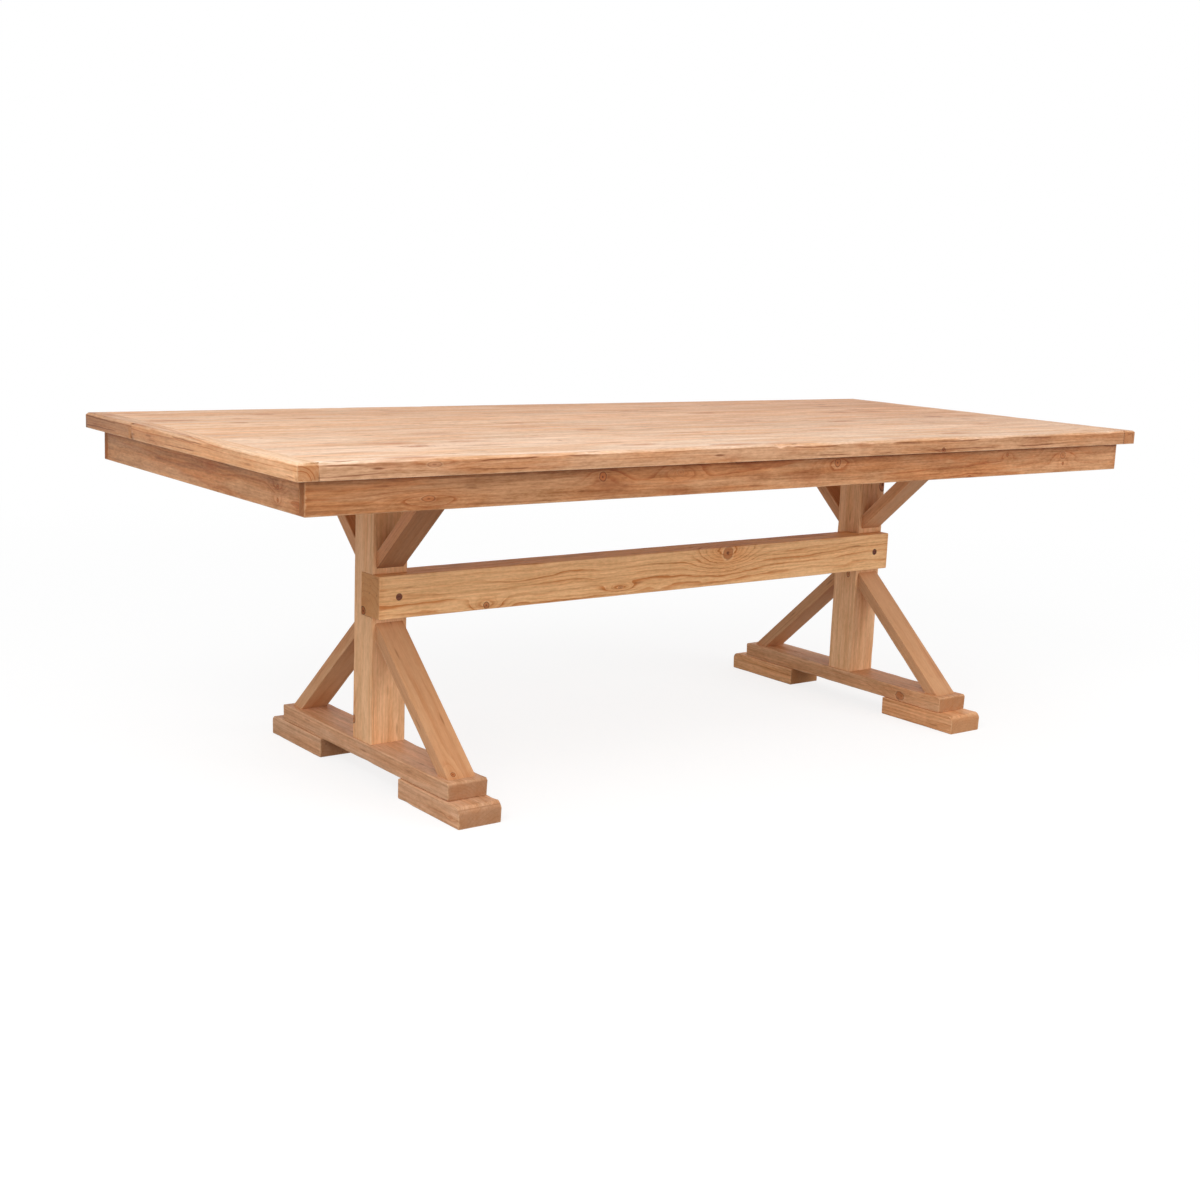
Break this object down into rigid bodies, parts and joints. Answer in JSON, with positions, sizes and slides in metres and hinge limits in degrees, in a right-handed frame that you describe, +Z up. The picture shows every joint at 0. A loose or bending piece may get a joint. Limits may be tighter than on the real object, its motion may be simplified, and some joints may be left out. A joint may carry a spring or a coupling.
{
  "type": "trestle dining table",
  "caption": "Rectangular plank dining table with a shallow apron, on braced post trestles tied by a stretcher.",
  "frame": {"origin": "on the floor, under the middle of the top", "axes": "+Z up, +X along the table, -Y towards the side that shows the stretcher"},
  "size_m": [2.4, 1.02, 0.77],
  "materials": {
    "pine_top": "waxed, satin",
    "pine_frame": "waxed, satin",
    "beech": "raw, planed",
    "dark_wood": "stained, satin",
    "zinc_steel": "zinc plated"
  },
  "bodies": {
    "root": {"top_plank_1": "pine_top", "top_plank_2": "pine_top", "top_plank_3": "pine_top", "top_plank_4": "pine_top", "top_plank_5": "pine_top", "top_plank_6": "pine_top", "top_plank_7": "pine_top", "end_strip_right": "pine_top", "end_strip_left_front": "pine_top", "end_strip_left_back": "pine_top", "apron_front": "pine_frame", "apron_back": "pine_frame", "apron_left": "pine_frame", "apron_right": "pine_frame", "corner_block_front_left": "beech", "corner_block_front_right": "beech", "corner_block_back_left": "beech", "corner_block_back_right": "beech", "corner_screws": "zinc_steel", "apron_buttons": "beech", "button_screws": "zinc_steel", "centre_batten": "pine_frame", "batten_screws": "zinc_steel", "bearer_left": "pine_frame", "bearer_right": "pine_frame", "bearer_screws": "zinc_steel", "bearer_washers": "zinc_steel", "post_left": "pine_frame", "post_right": "pine_frame", "foot_beam_left": "pine_frame", "foot_beam_right": "pine_frame", "foot_pad_front_left": "pine_frame", "foot_pad_back_left": "pine_frame", "foot_pad_front_right": "pine_frame", "foot_pad_back_right": "pine_frame", "pad_screws": "zinc_steel", "upper_brace_front_left": "pine_frame", "upper_brace_back_left": "pine_frame", "upper_brace_front_right": "pine_frame", "upper_brace_back_right": "pine_frame", "lower_brace_front_left": "pine_frame", "lower_brace_back_left": "pine_frame", "lower_brace_front_right": "pine_frame", "lower_brace_back_right": "pine_frame", "brace_dowels": "beech", "stretcher": "pine_frame", "stretcher_bolts": "zinc_steel", "stretcher_washers": "zinc_steel", "stretcher_nuts": "zinc_steel", "front_plugs": "dark_wood", "back_plugs": "dark_wood"}
  },
  "joints": []
}
